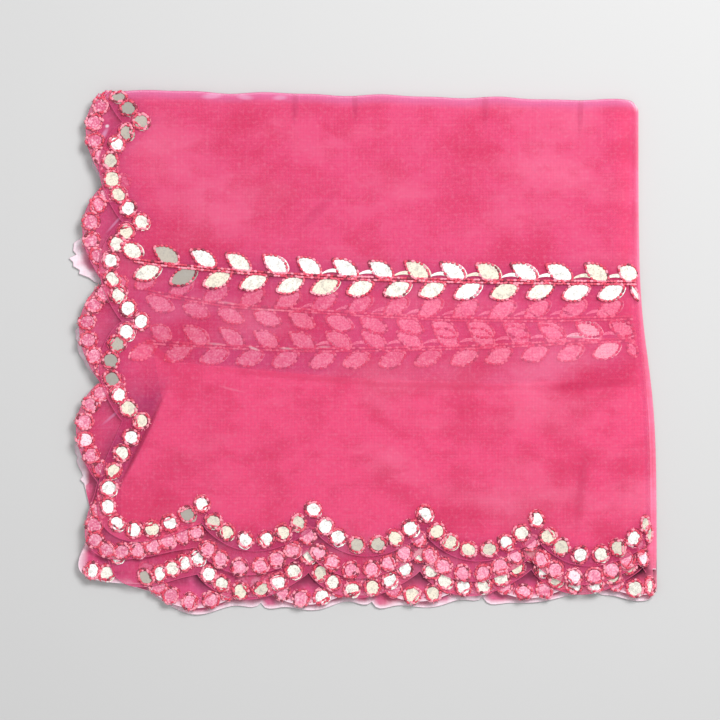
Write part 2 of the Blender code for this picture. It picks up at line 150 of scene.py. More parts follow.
# The layers from the table up, as the solids have them: height of the upper face, the notches next
# to the corner, the edges' tilts, how the corner's lobe swells, how far the folds stand out past
# the top layer's, and the radii of the rolled folds.
COLUMNS = (
    "name", "over", "notch_x", "notch_y", "slope", "side_x", "side_y", "lean",
    "out_left", "out_front", "square", "fan_back", "fan_front", "fan_y", "roll_right", "roll_back",
)
ROWS = (
    ("table", 0.0016, -0.1888, -0.1888, 0.028, -0.2152, -0.1166, 0.030,
     1.20, 0.20, 0.36, 0.0026, 0.0062, 0.0006, 0.0, 0.0),
    ("fifth", 0.0040, -0.1430, -0.1773, 0.015, -0.2072, -0.1351, 0.030,
     0.50, 0.80, 0.55, 0.0014, 0.0052, -0.0006, 0.0, 0.0),
    ("fourth", 0.0062, -0.1914, -0.1923, 0.030, -0.2178, -0.1192, 0.030,
     1.23, 0.20, 0.35, -0.0038, 0.0020, -0.0018, 0.0, 0.0),
    ("third", 0.0078, -0.1465, -0.1817, 0.015, -0.2099, -0.1307, 0.030,
     0.50, 0.85, 0.55, -0.0018, -0.0018, 0.0003, 0.0024, 0.0024),
    ("second", 0.0104, -0.1474, -0.1588, -0.030, -0.2204, -0.1148, 0.032,
     0.95, 0.80, 0.50, -0.0050, -0.0050, -0.0020, 0.0, 0.0),
    ("top", 0.0120, -0.1421, -0.1342, -0.045, -0.1954, -0.0612, 0.0,
     1.50, 1.15, 0.60, 0.0, 0.0, 0.0, 0.0060, 0.0026),
)
LAYERS = {row[0]: dict(zip(COLUMNS, row)) for row in ROWS}
HIDDEN_LAYERS = ("table", "fifth", "fourth")

# Soft folds of the top layer: middle, half length and half width, direction in degrees, and lift.
RIDGE_COLUMNS = ("x", "y", "along", "across", "turn", "lift")
RIDGES = (
    (-0.150, 0.010, 0.070, 0.020, 62, 0.0012),
    (-0.080, 0.140, 0.100, 0.024, 18, 0.0014),
    (0.085, 0.170, 0.110, 0.026, -12, 0.0013),
    (0.180, 0.105, 0.030, 0.070, 4, 0.0011),
    (0.020, 0.015, 0.150, 0.018, -3, 0.0011),
    (-0.115, -0.075, 0.070, 0.020, 58, 0.0013),
    (0.140, -0.070, 0.024, 0.060, 10, 0.0012),
)

# Narrow creases that the ironed cloth keeps, in the same columns.
CREASES = (
    (-0.195, -0.079, 0.044, 0.0040, 64, -0.0010),
    (-0.040, 0.118, 0.016, 0.0050, 45, 0.0006),
    (0.1930, -0.125, 0.034, 0.0050, 88, -0.0006),
)

# Spots of painted light and shade on the cloth, each a long spot that fades to its edge: middle, half
# length and half width, direction in degrees, colour and strength. On the top layer: painted shade in
# its creases and beside them and along the hidden flap's edge, darker streaks of painted shade across
# the back fold, painted highlights on its pale patches, and painted glints of hidden stems.
TOP_PAINTED_LIGHT = (
    (-0.1954, -0.0796, 0.050, 0.0029, 64, "#861234", 0.95),
    (0.1910, -0.1236, 0.042, 0.0060, 84, "#c22c5a", 0.42),
    (-0.0409, 0.1228, 0.024, 0.0060, 45, "#cc3565", 0.40),
    (-0.0603, 0.2169, 0.020, 0.0036, 88, "#bf3565", 0.50),
    (-0.0075, 0.2169, 0.018, 0.0036, 92, "#bf3565", 0.50),
    (0.1069, 0.2150, 0.022, 0.0040, 90, "#bf3565", 0.45),
    (0.1905, 0.2110, 0.024, 0.0036, 88, "#bf3565", 0.45),
    (-0.1333, 0.2245, 0.011, 0.0032, 4, "#f2c0e4", 0.70),
    (-0.1043, 0.2236, 0.009, 0.0030, -6, "#f2c0e4", 0.65),
    (-0.0735, 0.2231, 0.008, 0.0028, 3, "#f2c0e4", 0.60),
    (-0.1192, 0.0427, 0.011, 0.0012, -8, "#ffc0d0", 0.50),
    (-0.0823, 0.0365, 0.022, 0.0010, -2, "#ffc0d0", 0.40),
    (-0.1298, 0.0066, 0.010, 0.0014, -5, "#ffc0d0", 0.60),
    (-0.0964, 0.0026, 0.006, 0.0015, -20, "#ffe0e8", 0.75),
    (-0.0673, 0.0026, 0.008, 0.0012, -3, "#ffd6e0", 0.65),
    (-0.0348, 0.0040, 0.007, 0.0014, 0, "#ffc0d0", 0.60),
    (0.1870, 0.0128, 0.009, 0.0014, 0, "#ffd6e0", 0.65),
    (-0.1166, -0.0330, 0.013, 0.0013, -14, "#f78fae", 0.55),
    (-0.1800, -0.0010, 0.022, 0.0060, -42, "#d22a58", 0.60),
    (-0.0559, -0.0222, 0.085, 0.0042, -5, "#d02e5c", 0.45),
    (0.0800, -0.0305, 0.080, 0.0042, -1, "#d02e5c", 0.45),
    (0.1980, -0.0290, 0.060, 0.0062, 4, "#c8285a", 0.60),
    (-0.1960, -0.0700, 0.0420, 0.0110, 66, "#a02454", 0.45),
)

# The same on the second and third layers: painted glints on crumpled cloth in the left strip.
INNER_PAINTED_GLINTS = (
    (-0.2257, 0.1984, 0.0022, 0.0018, 20, "#fff0fa", 0.95),
    (-0.2290, 0.1900, 0.0090, 0.0026, 60, "#eeb4dc", 0.65),
    (-0.2178, 0.1140, 0.0150, 0.0014, 48, "#e8a0cc", 0.60),
    (-0.2230, 0.0560, 0.0120, 0.0016, 55, "#e8a0cc", 0.50),
    (-0.2200, -0.0560, 0.0160, 0.0016, 40, "#e8a0cc", 0.50),
)

# The same on the lowest layers: painted shade in the deep hollow at the right corner and along a fold
# at the left one.
UNDER_PAINTED_SHADE = (
    (0.2420, -0.1930, 0.0140, 0.0050, 35, "#2e0618", 0.90),
    (-0.2250, -0.1960, 0.0240, 0.0030, 3, "#5c1030", 0.60),
)

# A turned-in flap of the hidden layers: its far edge, from left to right, and its slanting left edge.
FLAP_EDGE = (
    (-0.1862, 0.0075), (-0.1659, -0.0092), (-0.0911, -0.0163), (-0.0128, -0.0233),
    (0.0761, -0.0268), (0.1254, -0.0286), (0.2360, -0.0224),
)
FLAP_SIDE = ((-0.1773, -0.0427), (-0.2134, -0.1166))

# Places where the foil is painted grey, as a darker painted reflection, with their reach.
DARK_REFLECTION_PLACES = (
    (-0.2070, 0.2120, 0.023), (-0.2205, -0.0090, 0.020), (-0.1544, -0.1456, 0.007),
    (-0.0057, -0.1720, 0.007), (0.0128, -0.1703, 0.007), (-0.1890, -0.2030, 0.008),
    (-0.1730, 0.0850, 0.008), (-0.1606, 0.0673, 0.006), (-0.0440, -0.1620, 0.006),
)

# Where the lowest layer's crumpled edge comes out past the others, on the left and in front, where
# it also fills the notches: the middle of each place, its half length and how far it comes out.
LEFT_CRUMPLES = (
    (0.1580, 0.013, 0.0040), (0.0940, 0.006, 0.0060), (0.0775, 0.019, 0.0120),
    (0.0760, 0.008, 0.0070), (0.0480, 0.009, 0.0030), (0.0040, 0.026, 0.0064),
    (-0.0930, 0.013, 0.0080), (-0.1240, 0.020, 0.0150),
)
FRONT_CRUMPLES = (
    (-0.1905, 0.010, 0.0040), (-0.1386, 0.020, 0.0015), (-0.0907, 0.017, 0.0152),
    (0.0074, 0.017, 0.0168), (0.0560, 0.024, 0.0015), (0.1055, 0.017, 0.0168),
    (0.2036, 0.015, 0.0118),
)
FRONT_OUT = 0.0036

# How far the lowest layers' front corner at the right fold is rounded off.
CORNER_CUT = 0.0060

# Mirrors that turn down over the right fold at the front: layer, place and how narrow they look.
FOLDED_MIRRORS = (
    ("top", 0.2512, -0.1600, 0.40),
    ("second", 0.2462, -0.1812, 0.62),
    ("fourth", 0.2520, -0.2062, 0.50),
)

# Places where foil seen through cloth is painted with a sparkle highlight, with their reach.
SPARKLES = (
    (0.1976, 0.0216, 0.010), (0.2125, 0.0075, 0.010), (-0.2230, 0.1740, 0.008),
    (-0.2490, -0.0830, 0.008), (0.1835, -0.1949, 0.008), (0.2143, -0.2000, 0.009),
    (0.2462, -0.1812, 0.006),
)

# Places on the fourth layer where the foil lies bare, and the reach of each.
BARE_REACH = 0.009
BARE_PLACES = (
    (-0.0383, -0.2178), (0.0321, -0.2196), (0.0444, -0.2178), (0.0647, -0.2187),
    (0.2398, -0.2064), (0.2500, -0.2072), (-0.2389, -0.1976), (-0.2266, -0.1958),
)

# Places where a mirror of the third or fourth layer is tucked away in a crease, with their reach.
TUCKED_PLACES = (
    (-0.2460, -0.1835, 0.006), (-0.2125, -0.1888, 0.006),
    (-0.2147, -0.1940, 0.005), (-0.2035, -0.1975, 0.005),
)

# How far the thin sheets of the scene end inside the solids' edges, so that the lowest one shows alone.
TRIMS = {"table": 0.0, "fifth": 0.0022, "fourth": 0.0042, "third": 0.0020, "second": 0.0030, "top": 0.0}

# The hidden vines' stems, from left to right.
SECOND_STEM = (
    (-0.205, 0.0560), (-0.180, 0.0508), (-0.120, 0.0405), (-0.060, 0.0365), (0.000, 0.0325),
    (0.080, 0.0285), (0.160, 0.0278), (0.245, 0.0300),
)
THIRD_STEM = (
    (-0.205, 0.0095), (-0.130, 0.0045), (-0.050, 0.0013), (0.030, 0.0022),
    (0.100, 0.0040), (0.170, 0.0075), (0.245, 0.0110),
)

# How violet and dark the top layer is painted where few layers lie under it, partly painted shade seen
# through the sheer cloth; on the rolled right edge it is painted shade.
VIOLET = {"vine": 0.75, "below_vine": 0.52, "left": 0.72, "front": 0.82, "rolled": 0.30}

# How dark the painted shadow under a cut edge is: at the lobes, and what the notches add.
LEFT_SHADOW = (0.12, 0.25)
FRONT_SHADOW = (0.06, 0.90)

# The studio: each lamp's place, size and power, the light all round, half the floor's width, and the
# width and the middle of what the camera takes in.
LAMPS = (
    ("key", (1.00, 1.15, 1.9), 0.9, 60.0),
    ("fill", (-0.4, -0.3, 1.9), 1.6, 9.0),
)
LIGHT_ALL_ROUND = 0.42
FLOOR_REACH = 3.0
VIEW_WIDTH = 0.6336
VIEW_MIDDLE = (-0.0047, -0.0077, 0.010)


def steps(low, high, count):
    """count values from low to high, both included."""
    return [low + (high - low) * i / (count - 1) for i in range(count)]


def puff(x, y):
    """The packet's thickness at a place, as a share of its nominal one."""
    near_front = max(0.0, min(1.0, (-0.05 - y) / 0.15))
    near_left = max(0.0, min(1.0, (-0.10 - x) / 0.13))
    front_wave = sin(x / 0.0185 + 0.6) + 0.6 * sin(x / 0.0410 + 2.0)
    left_wave = sin(y / 0.0170 - 0.4) + 0.6 * sin(y / 0.0390 + 0.9)
    broad = sin(x / 0.090 + 1.0) * cos(y / 0.075 - 0.4)
    waves = 1.0 + FRONT_PUFF * near_front * front_wave + LEFT_PUFF * near_left * left_wave
    return waves + BROAD_PUFF * broad


def folds_lift(rows, x, y):
    """Height that soft folds or creases add at a place."""
    lift = 0.0
    for row in rows:
        fold = dict(zip(RIDGE_COLUMNS, row))
        turn = radians(fold["turn"])
        dx, dy = x - fold["x"], y - fold["y"]
        along = (dx * cos(turn) + dy * sin(turn)) / fold["along"]
        across = (dy * cos(turn) - dx * sin(turn)) / fold["across"]
        lift += fold["lift"] * exp(-along * along - across * across)
    return lift


def back_fold(layer, x):
    """The back fold's line, with the small ripples of folded cloth."""
    ripple = 0.0008 * sin(x / 0.0155) + 0.0005 * sin(x / 0.0083)
    return BACK_FOLD_Y + BACK_FOLD_SLOPE * x + ripple + layer["fan_y"]


def right_fold(layer, y):
    """The right fold's line, which swings out towards the front."""
    swing = 0.5 - 0.5 * tanh((y + 0.005) / 0.060)
    fan = layer["fan_back"] + (layer["fan_front"] - layer["fan_back"]) * swing
    return RIGHT_FOLD_X + RIGHT_FOLD_SWING * swing + fan


def scallop(share):
    """Depth of a scallop, 0 at its notches and 1 at its lobe; the side after a notch is steeper."""
    return sin(pi * (share % 1.0) ** SCALLOP_SKEW) ** SCALLOP_ROUNDNESS


def left_point(layer, share, margin):
    """A plan point on the left border; share counts scallops from the notch next to the corner."""
    y = layer["side_y"] + share * PITCH_LEFT
    notch, lobe = margin
    depth = notch + (DEPTH_LEFT + lobe - notch) * scallop(-share)
    return Vector((layer["side_x"] + layer["lean"] * (y - layer["side_y"]) - depth, y))


def front_point(layer, share, margin):
    """A plan point on the front border; share counts scallops from the notch next to the corner."""
    x = layer["notch_x"] + share * PITCH_FRONT
    notch, lobe = margin
    depth = notch + (DEPTH_FRONT + lobe - notch) * scallop(share)
    return Vector((x, layer["notch_y"] + layer["slope"] * (x - layer["notch_x"]) - depth))


def corner_point(layer, share, margin):
    """A plan point on the lobe round the corner; share runs from the left notch to the front one."""
    notch, lobe = margin
    swell = sin(pi * share) ** 0.7
    outside = notch + (lobe - notch) * swell
    angle = share * pi / 2
    reach_x = layer["notch_x"] - layer["side_x"] + outside + DEPTH_LEFT * layer["out_left"] * swell
    reach_y = layer["side_y"] - layer["notch_y"] + outside + DEPTH_FRONT * layer["out_front"] * swell
    return Vector((
        layer["notch_x"] - reach_x * max(cos(angle), 0.0) ** layer["square"],
        layer["side_y"] - reach_y * max(sin(angle), 0.0) ** layer["square"],
    ))


def border_shares(top_share, end_share, shares):
    """The same shares of every scallop, counted down the left border and along the front one."""
    left = [number + 1 - share for number in range(int(top_share), -1, -1) for share in shares]
    front = [number + share for number in range(int(end_share) + 1) for share in shares]
    return left, front


def crumple(point):
    """Moves a point of the lowest layer's cut edge to where the crumpled cloth comes out."""
    ragged = 0.5 + 0.5 * sin(point.y / 0.0016) * sin(point.y / 0.0041)
    for middle, half, out in LEFT_CRUMPLES:
        at = (point.y - middle) / half
        reach = out * (0.78 + 0.42 * ragged) * smooth(-0.165, -0.195, point.x)
        point.x -= reach * exp(-at ** 4)
    front = smooth(-0.150, -0.185, point.y)
    wave = 1.0 + 0.25 * sin(point.x / 0.009)
    point.y -= FRONT_OUT * front * wave * smooth(-0.212, -0.196, point.x)
    for middle, half, out in FRONT_CRUMPLES:
        at = (point.x - middle) / half
        point.y -= out * front * exp(-at * at)


def cut_edge(layer):
    """The cut edge in plan: from the back fold down the left, round the corner, along the front."""
    margin = (NOTCH_MARGIN - TRIMS[layer["name"]], LOBE_MARGIN - TRIMS[layer["name"]])
    back_y = back_fold(layer, layer["side_x"]) - layer["roll_back"]
    top_share = (back_y - layer["side_y"]) / PITCH_LEFT
    end_x = right_fold(layer, layer["notch_y"]) - layer["roll_right"]
    end_share = (end_x - layer["notch_x"]) / PITCH_FRONT
    left, front = border_shares(top_share, end_share, steps(0.0, 1.0, EDGE_STEPS + 1)[:-1])
    points = [left_point(layer, top_share, margin)]
    points += [left_point(layer, share, margin) for share in left if share < top_share - 0.02]
    points += [corner_point(layer, share, margin) for share in steps(0.0, 1.0, CORNER_STEPS)[:-1]]
    points += [front_point(layer, share, margin) for share in front if share < end_share - 0.02]
    points.append(front_point(layer, end_share, margin))
    for point in points:
        if layer["name"] == "fifth":
            point.y -= 0.7 * FRONT_OUT * smooth(-0.150, -0.185, point.y)
        if layer["name"] == "table":
            crumple(point)
        if layer["name"] in ("table", "fifth"):
            point.y += CORNER_CUT * smooth(0.010, 0.0, right_fold(layer, point.y) - point.x) ** 2
    return points


def corner_middle(layer):
    """Middle of the arc between the right fold and the back fold, and its two radii."""
    corner_x = right_fold(layer, BACK_FOLD_Y) - layer["roll_right"]
    corner_y = back_fold(layer, corner_x) - layer["roll_back"]
    radius_x = max(CORNER_RADIUS - layer["roll_right"], 0.003)
    radius_y = max(CORNER_RADIUS - layer["roll_back"], 0.003)
    return corner_x - radius_x, corner_y - radius_y, radius_x, radius_y


def fold_line(layer, start_y, end_x):
    """Where the flat cloth ends, from the front end of the right fold to the back fold's left end."""
    middle_x, middle_y, radius_x, radius_y = corner_middle(layer)
    roll_right, roll_back = layer["roll_right"], layer["roll_back"]
    right = [Vector((right_fold(layer, y) - roll_right, y)) for y in steps(start_y, middle_y, 30)]
    turn = [
        Vector((middle_x + radius_x * cos(angle), middle_y + radius_y * sin(angle)))
        for angle in steps(0.0, pi / 2, 8)[1:-1]
    ]
    back = [Vector((x, back_fold(layer, x) - roll_back)) for x in steps(middle_x, end_x, 60)]
    return right + turn + back


def near(places, x, y):
    """Whether a place is within the reach of any of some places."""
    return any(hypot(x - at_x, y - at_y) < reach for at_x, at_y, reach in places)


def mirror_centres(layer):
    """Mirror centres of a layer's border, from the back fold to the right fold."""
    top_share = (BACK_FOLD_Y - layer["side_y"]) / PITCH_LEFT
    end_share = (RIGHT_FOLD_X + RIGHT_FOLD_SWING - layer["notch_x"]) / PITCH_FRONT
    left, front = border_shares(top_share, end_share, MIRROR_SHARES)
    centres = [left_point(layer, share, ON_CHAIN) for share in left]
    fine = [corner_point(layer, share, ON_CHAIN) for share in steps(0.0, 1.0, 200)]
    length = sum((b - a).length for a, b in zip(fine, fine[1:]))
    spacing = length / (CORNER_MIRRORS + 1)
    centres.append(fine[0])
    walked = 0.0
    for a, b in zip(fine, fine[1:]):
        before = int(walked / spacing)
        walked += (b - a).length
        if int(walked / spacing) > before and walked < length - spacing / 2:
            centres.append(b)
    centres += [front_point(layer, share, ON_CHAIN) for share in front]
    reach_x = right_fold(layer, layer["notch_y"]) - layer["roll_right"] * 0.3 - FOIL_RADIUS
    reach_y = back_fold(layer, layer["side_x"]) - layer["roll_back"] - FOIL_RADIUS
    front_only = layer["name"] in ("third", "fourth")
    kept = []
    for centre in centres:
        if centre.y > reach_y:
            centre.y = reach_y + (centre.y - reach_y) * 0.5
        if centre.x > reach_x:
            centre.x = reach_x + (centre.x - reach_x) * 0.5
        tucked = near(TUCKED_PLACES, *centre)
        hidden = front_only and (tucked or centre.y > layer["notch_y"] + 0.012)
        if centre.x < reach_x + 0.0050 and centre.y < reach_y + 0.0055 and not hidden:
            kept.append(centre)
    return kept


def roll_drop(layer, x, y):
    """How far the cloth has come down where it rolls over a fold."""
    drop = 0.0
    for radius, past in (
        (layer["roll_right"], x - right_fold(layer, y) + layer["roll_right"]),
        (layer["roll_back"], y - back_fold(layer, x) + layer["roll_back"]),
    ):
        reach = min(max(past, 0.0), radius * 0.9)
        drop += radius - sqrt(radius * radius - reach * reach)
    return drop


def flutter(layer, x, y):
    """Small waves of a layer's cut edges, different on each layer, that die out inside the packet."""
    phase = 400.0 * layer["over"]
    near_left = smooth(-0.165, -0.215, x)
    near_front = smooth(-0.135, -0.185, y)
    left = sin(y / 0.0105 + phase) + 0.6 * sin(y / 0.0052 + 2.1 * phase)
    front = sin(x / 0.0120 + phase) + 0.6 * sin(x / 0.0060 + 1.7 * phase)
    return FLUTTER * (near_left * left + near_front * front)


def cloth_height(layer, x, y):
    """The height of a layer's sheet."""
    flat = layer["over"] * puff(x, y) - roll_drop(layer, x, y) + flutter(layer, x, y)
    if layer["name"] == "top":
        flat += folds_lift(RIDGES, x, y) + folds_lift(CREASES, x, y)
    return flat


def smooth(low, high, value):
    """0 below low, 1 above high, and an even ease between them; low may be the higher one."""
    share = max(0.0, min(1.0, (value - low) / (high - low)))
    return share * share * (3.0 - 2.0 * share)


def first_stem(x):
    """The top vine's line: it drops from its left end and then runs level."""
    return VINE_START_Y - VINE_DROP * (1.0 - exp(-(x - VINE_START_X) / VINE_BEND))


def along(line, x):
    """The y of a line of places at an x, straight between the places."""
    for (ax, ay), (bx, by) in zip(line, line[1:]):
        if x <= bx:
            return ay + (by - ay) * (x - ax) / (bx - ax)
    return line[-1][1]


def top_depth_and_shade(x, y):
    """How violet and dark the top layer is painted at a place: where few layers lie under it, partly
    their own colour and partly painted shade seen through the sheer cloth.

    It is violet at both borders, along the vine, at the left corner, and a little below the vine;
    on the rolled right edge it is darker as painted shade.
    """
    top = LAYERS["top"]
    flap_y, stem_y = along(FLAP_EDGE, x), first_stem(x)
    vine = VIOLET["vine"] * exp(-((y - stem_y + 0.001) / 0.015) ** 2)
    below_vine = VIOLET["below_vine"] * smooth(flap_y - 0.001, flap_y + 0.003, y)
    below_vine *= smooth(stem_y + 0.006, stem_y - 0.006, y)
    below_vine *= 1.0 - 0.55 * smooth(-0.10, 0.04, x)
    left = front = 0.0
    if y > top["side_y"]:
        inside = x - left_point(top, (y - top["side_y"]) / PITCH_LEFT, ON_CHAIN).x
        left = VIOLET["left"] * smooth(0.026, -0.002, inside)
    if x > top["notch_x"]:
        inside = y - front_point(top, (x - top["notch_x"]) / PITCH_FRONT, ON_CHAIN).y
        front = VIOLET["front"] * smooth(0.016, -0.002, inside)
    (ax, ay), (bx, by) = FLAP_SIDE
    beside = ((x - ax) * (by - ay) - (y - ay) * (bx - ax)) / hypot(bx - ax, by - ay)
    corner = smooth(-0.002, 0.004, beside) * smooth(ay + 0.034, ay - 0.004, y)
    if y < by - 0.03 or x > -0.15:
        corner = 0.0
    rolled = VIOLET["rolled"] * smooth(0.009, 0.004, right_fold(top, y) - x)
    return max(vine, below_vine, left, front, corner, rolled)


def fold_rim(layer, x, y, from_edge):
    """Where a layer is painted paler: at its folds as a painted highlight, and at a low layer's cut
    edge, where it lies alone, partly its own paler colour and partly painted light.
    """
    back = 0.75 * smooth(0.0095, 0.0040, back_fold(layer, x) - y)
    right = 0.08 * smooth(0.0080, 0.0050, right_fold(layer, y) - x)
    alone = 0.0
    if layer["name"] in ("table", "fifth"):
        width = 0.0042 + 0.0058 * smooth(-0.110, -0.095, y)
        at_corner = smooth(-0.162, -0.176, y) * smooth(-0.200, -0.212, x)
        alone = smooth(width, 0.3 * width, from_edge) * (1.0 - at_corner)
    if layer["name"] == "fourth":
        alone = 0.8 * smooth(0.0045, 0.0015, from_edge)
    alone *= smooth(0.004, 0.014, right_fold(layer, y) - x)
    return max(back, right, alone)


def painted_edge_shadow(above, from_edge, x, y):
    """The painted shadow on a layer under the edge of the one above, deepest at that one's notches."""
    on_left = y > above["side_y"]
    share = (y - above["side_y"]) / PITCH_LEFT if on_left else (x - above["notch_x"]) / PITCH_FRONT
    notch = 1.0 - scallop(-share if on_left else share)
    least, more = LEFT_SHADOW if on_left else FRONT_SHADOW
    return (least + more * notch) * smooth(0.0105, 0.0015, from_edge)


def edge_finder(layer):
    """Finds how far a place is from a layer's cut edge."""
    edge = cut_edge(layer)
    finder = KDTree(len(edge))
    for number, place in enumerate(edge):
        finder.insert((place.x, place.y, 0.0), number)
    finder.balance()
    return lambda x, y: finder.find((x, y, 0.0))[2]


def linear(code):
    """An sRGB hex colour as the linear values that a shader takes."""
    channels = [int(code[i:i + 2], 16) / 255 for i in (1, 3, 5)]
    return (*[c / 12.92 if c <= 0.04045 else ((c + 0.055) / 1.055) ** 2.4 for c in channels], 1.0)


def add(tree, kind, inputs=None, **settings):
    """Adds a node with its settings. inputs gives a value or another node's output to each socket."""
    node = tree.nodes.new(kind)
    for name, value in settings.items():
        setattr(node, name, value)
    for socket, value in (inputs or {}).items():
        if isinstance(value, bpy.types.NodeSocket):
            tree.links.new(value, node.inputs[socket])
        else:
            node.inputs[socket].default_value = value
    return node


def finish_material(name, **sockets):
    """A new material, its tree and its shader, with the shader's own sockets set."""
    made = bpy.data.materials.new(name)
    made.use_nodes = True
    shader = made.node_tree.nodes["Principled BSDF"]
    for socket, value in sockets.items():
        shader.inputs[socket.replace("_", " ")].default_value = value
    return made, made.node_tree, shader


def layered(tree, colour, layers):
    """Lays tints over a colour in turn, each by as much as its source has risen from low to high."""
    for source, low, high, share, tint in layers:
        rise = {0: source, 1: low, 2: high, 3: 0.0, 4: share}
        strength = add(tree, "ShaderNodeMapRange", rise).outputs[0]
        tinted = add(tree, "ShaderNodeMix", {0: strength, 6: colour, 7: linear(tint)}, data_type="RGBA")
        colour = tinted.outputs[2]
    return colour


def painted_light_spots(tree, place, painted_spots):
    """The layers that spots of painted light and shade make: each a long spot, 1 in its middle and 0 at
    its edge.
    """
    layers = []
    for x, y, half_length, half_width, turn, tint, share in painted_spots:
        seat = {
            "Vector": place,
            "Location": (x - PACKET_MIDDLE.x, y - PACKET_MIDDLE.y, 0.01),
            "Rotation": (0.0, 0.0, radians(turn)),
            "Scale": (half_length, half_width, 1.0),
        }
        spot = add(tree, "ShaderNodeMapping", seat, vector_type="TEXTURE").outputs[0]
        fade = add(tree, "ShaderNodeTexGradient", {"Vector": spot}, gradient_type="SPHERICAL")
        layers.append((fade.outputs["Fac"], 0.0, 0.6, share, tint))
    return layers


def embossed(tree, shader, colour, height, strength, distance):
    """Gives a shader its colour, and a fine relief that follows a height."""
    tree.links.new(colour, shader.inputs["Base Color"])
    bump = add(tree, "ShaderNodeBump", {"Height": height, "Strength": strength, "Distance": distance})
    tree.links.new(bump.outputs[0], shader.inputs["Normal"])


def woven(tree, shader, place, colour, darkest, lightest, strength):
    """Lays warp and weft on a colour: two sets of fine bands, crossed, that shade it and raise it."""
    threads = {"Vector": place, "Scale": pi / 10 / WEAVE_SPACING, "Distortion": 1.6}
    threads |= {"Detail": 2.0, "Detail Scale": 0.6}
    warp, weft = (
        add(tree, "ShaderNodeTexWave", threads, bands_direction=direction).outputs["Fac"]
        for direction in ("X", "Y")
    )
    weave = add(tree, "ShaderNodeMath", {0: warp, 1: weft}, operation="ADD").outputs[0]
    bands = {0: weave, 1: 0.2, 2: 1.8, 3: darkest, 4: lightest}
    shade = add(tree, "ShaderNodeMapRange", bands).outputs[0]
    mixed = {0: 1.0, 6: colour, 7: shade}
    shaded = add(tree, "ShaderNodeMix", mixed, data_type="RGBA", blend_type="MULTIPLY").outputs[2]
    embossed(tree, shader, shaded, weave, strength, 0.0002)


def organza(name, bright, deep, pale, seen_through, painted_spots):
    """Plain-woven sheer polyester: a fine even grid, soft clouds from the layers under it, and slubs,
    with painted light and shade on it: paler rims, a shadow under the edge of the layer above, and soft
    spots.

    The real thread spacing of 0.3 mm is finer than a pixel, so it is drawn at 1.3 mm.
    """
    made, tree, shader = finish_material(
        name, Roughness=0.62, Alpha=1.0 - seen_through, Sheen_Weight=0.14, Sheen_Roughness=0.45,
        Sheen_Tint=linear("#ff9cc0"), IOR=1.45, Specular_IOR_Level=0.20,
    )
    place = add(tree, "ShaderNodeTexCoord").outputs["Object"]
    depth, rim, shadow = (
        add(tree, "ShaderNodeAttribute", attribute_name=attribute).outputs["Fac"]
        for attribute in ("depth", "rim", "painted_edge_shadow")
    )
    layers = [(depth, 0.0, 1.0, 1.0, deep)]
    for stretch, low, high, share, tint in (
        ((15.0, 18.0, 1.0), 0.46, 0.66, 0.62, "#dc3061"),
        ((9.0, 20.0, 9.0), 0.50, 0.72, 0.40, "#ff8fb4"),
        ((45.0, 70.0, 5.0), 0.50, 0.68, 0.30, "#dc3061"),
        ((320.0, 320.0, 1.0), 0.50, 0.80, 0.22, "#ffa6c3"),
        ((14.0, 600.0, 1.0), 0.45, 0.80, 0.06, "#ffa6c3"),
        ((600.0, 14.0, 1.0), 0.45, 0.80, 0.06, "#ffa6c3"),
    ):
        turned = add(tree, "ShaderNodeMapping", {"Vector": place, "Scale": stretch}).outputs[0]
        noise = add(tree, "ShaderNodeTexNoise", {"Vector": turned, "Scale": 1.0, "Detail": 4.0})
        layers.append((noise.outputs["Fac"], low, high, share, tint))
    # Paler rims, partly painted light, and the painted shadow under the edge of the layer above.
    layers += [(rim, 0.0, 1.0, 1.0, pale), (shadow, 0.0, 1.0, 1.0, "#480a24")]
    colour = layered(tree, linear(bright), layers + painted_light_spots(tree, place, painted_spots))
    woven(tree, shader, place, colour, 0.91, 1.05, 0.35)
    return made


def mirror_foil():
    """Metallised film under the stitching: white to cream and bright as a painted reflection, finely
    pitted, some grey as a darker painted reflection.
    """
    made, tree, shader = finish_material("mirror_foil", Roughness=0.34, Metallic=0.30, IOR=1.5)
    place = add(tree, "ShaderNodeTexCoord").outputs["Object"]
    tone = add(tree, "ShaderNodeAttribute", attribute_name="tone").outputs["Fac"]
    grain, crease = (
        add(tree, "ShaderNodeTexNoise", {"Vector": place, "Scale": scale, "Detail": detail}).outputs[0]
        for scale, detail in ((800.0, 2.0), (230.0, 3.0))
    )
    colour = layered(tree, linear("#f4f4f1"), (
        (tone, 0.0, 0.55, 1.0, "#e6ddca"),
        (tone, 0.60, 1.0, 1.0, "#8f8a84"),
        (crease, 0.52, 0.60, 0.40, "#a29d98"),
        (grain, 0.54, 0.64, 0.50, "#968f89"),
    ))
    embossed(tree, shader, colour, crease, 0.3, 0.0006)
    return made


def organza_over_foil():
    """Foil seen through the one sheer layer drawn over it: mid to pale pink, with a painted sparkle
    highlight in places, and the weave on it.
    """
    made, tree, shader = finish_material("organza_over_foil", Roughness=0.45, Metallic=0.15, IOR=1.45)
    place = add(tree, "ShaderNodeTexCoord").outputs["Object"]
    tone = add(tree, "ShaderNodeAttribute", attribute_name="tone").outputs["Fac"]
    grain, crease = (
        add(tree, "ShaderNodeTexNoise", {"Vector": place, "Scale": scale, "Detail": detail}).outputs[0]
        for scale, detail in ((700.0, 2.0), (190.0, 3.0))
    )
    colour = layered(tree, linear("#ee92ad"), (
        (tone, 0.0, 1.0, 1.0, "#cf5078"),
        (tone, 0.0, -1.0, 0.85, "#fff0f5"),
        (crease, 0.50, 0.64, 0.45, "#f9c2d6"),
        (grain, 0.52, 0.66, 0.60, "#fdd0de"),
        (grain, 0.46, 0.36, 0.55, "#c4557e"),
    ))
    woven(tree, shader, place, colour, 0.84, 1.06, 0.4)
    return made


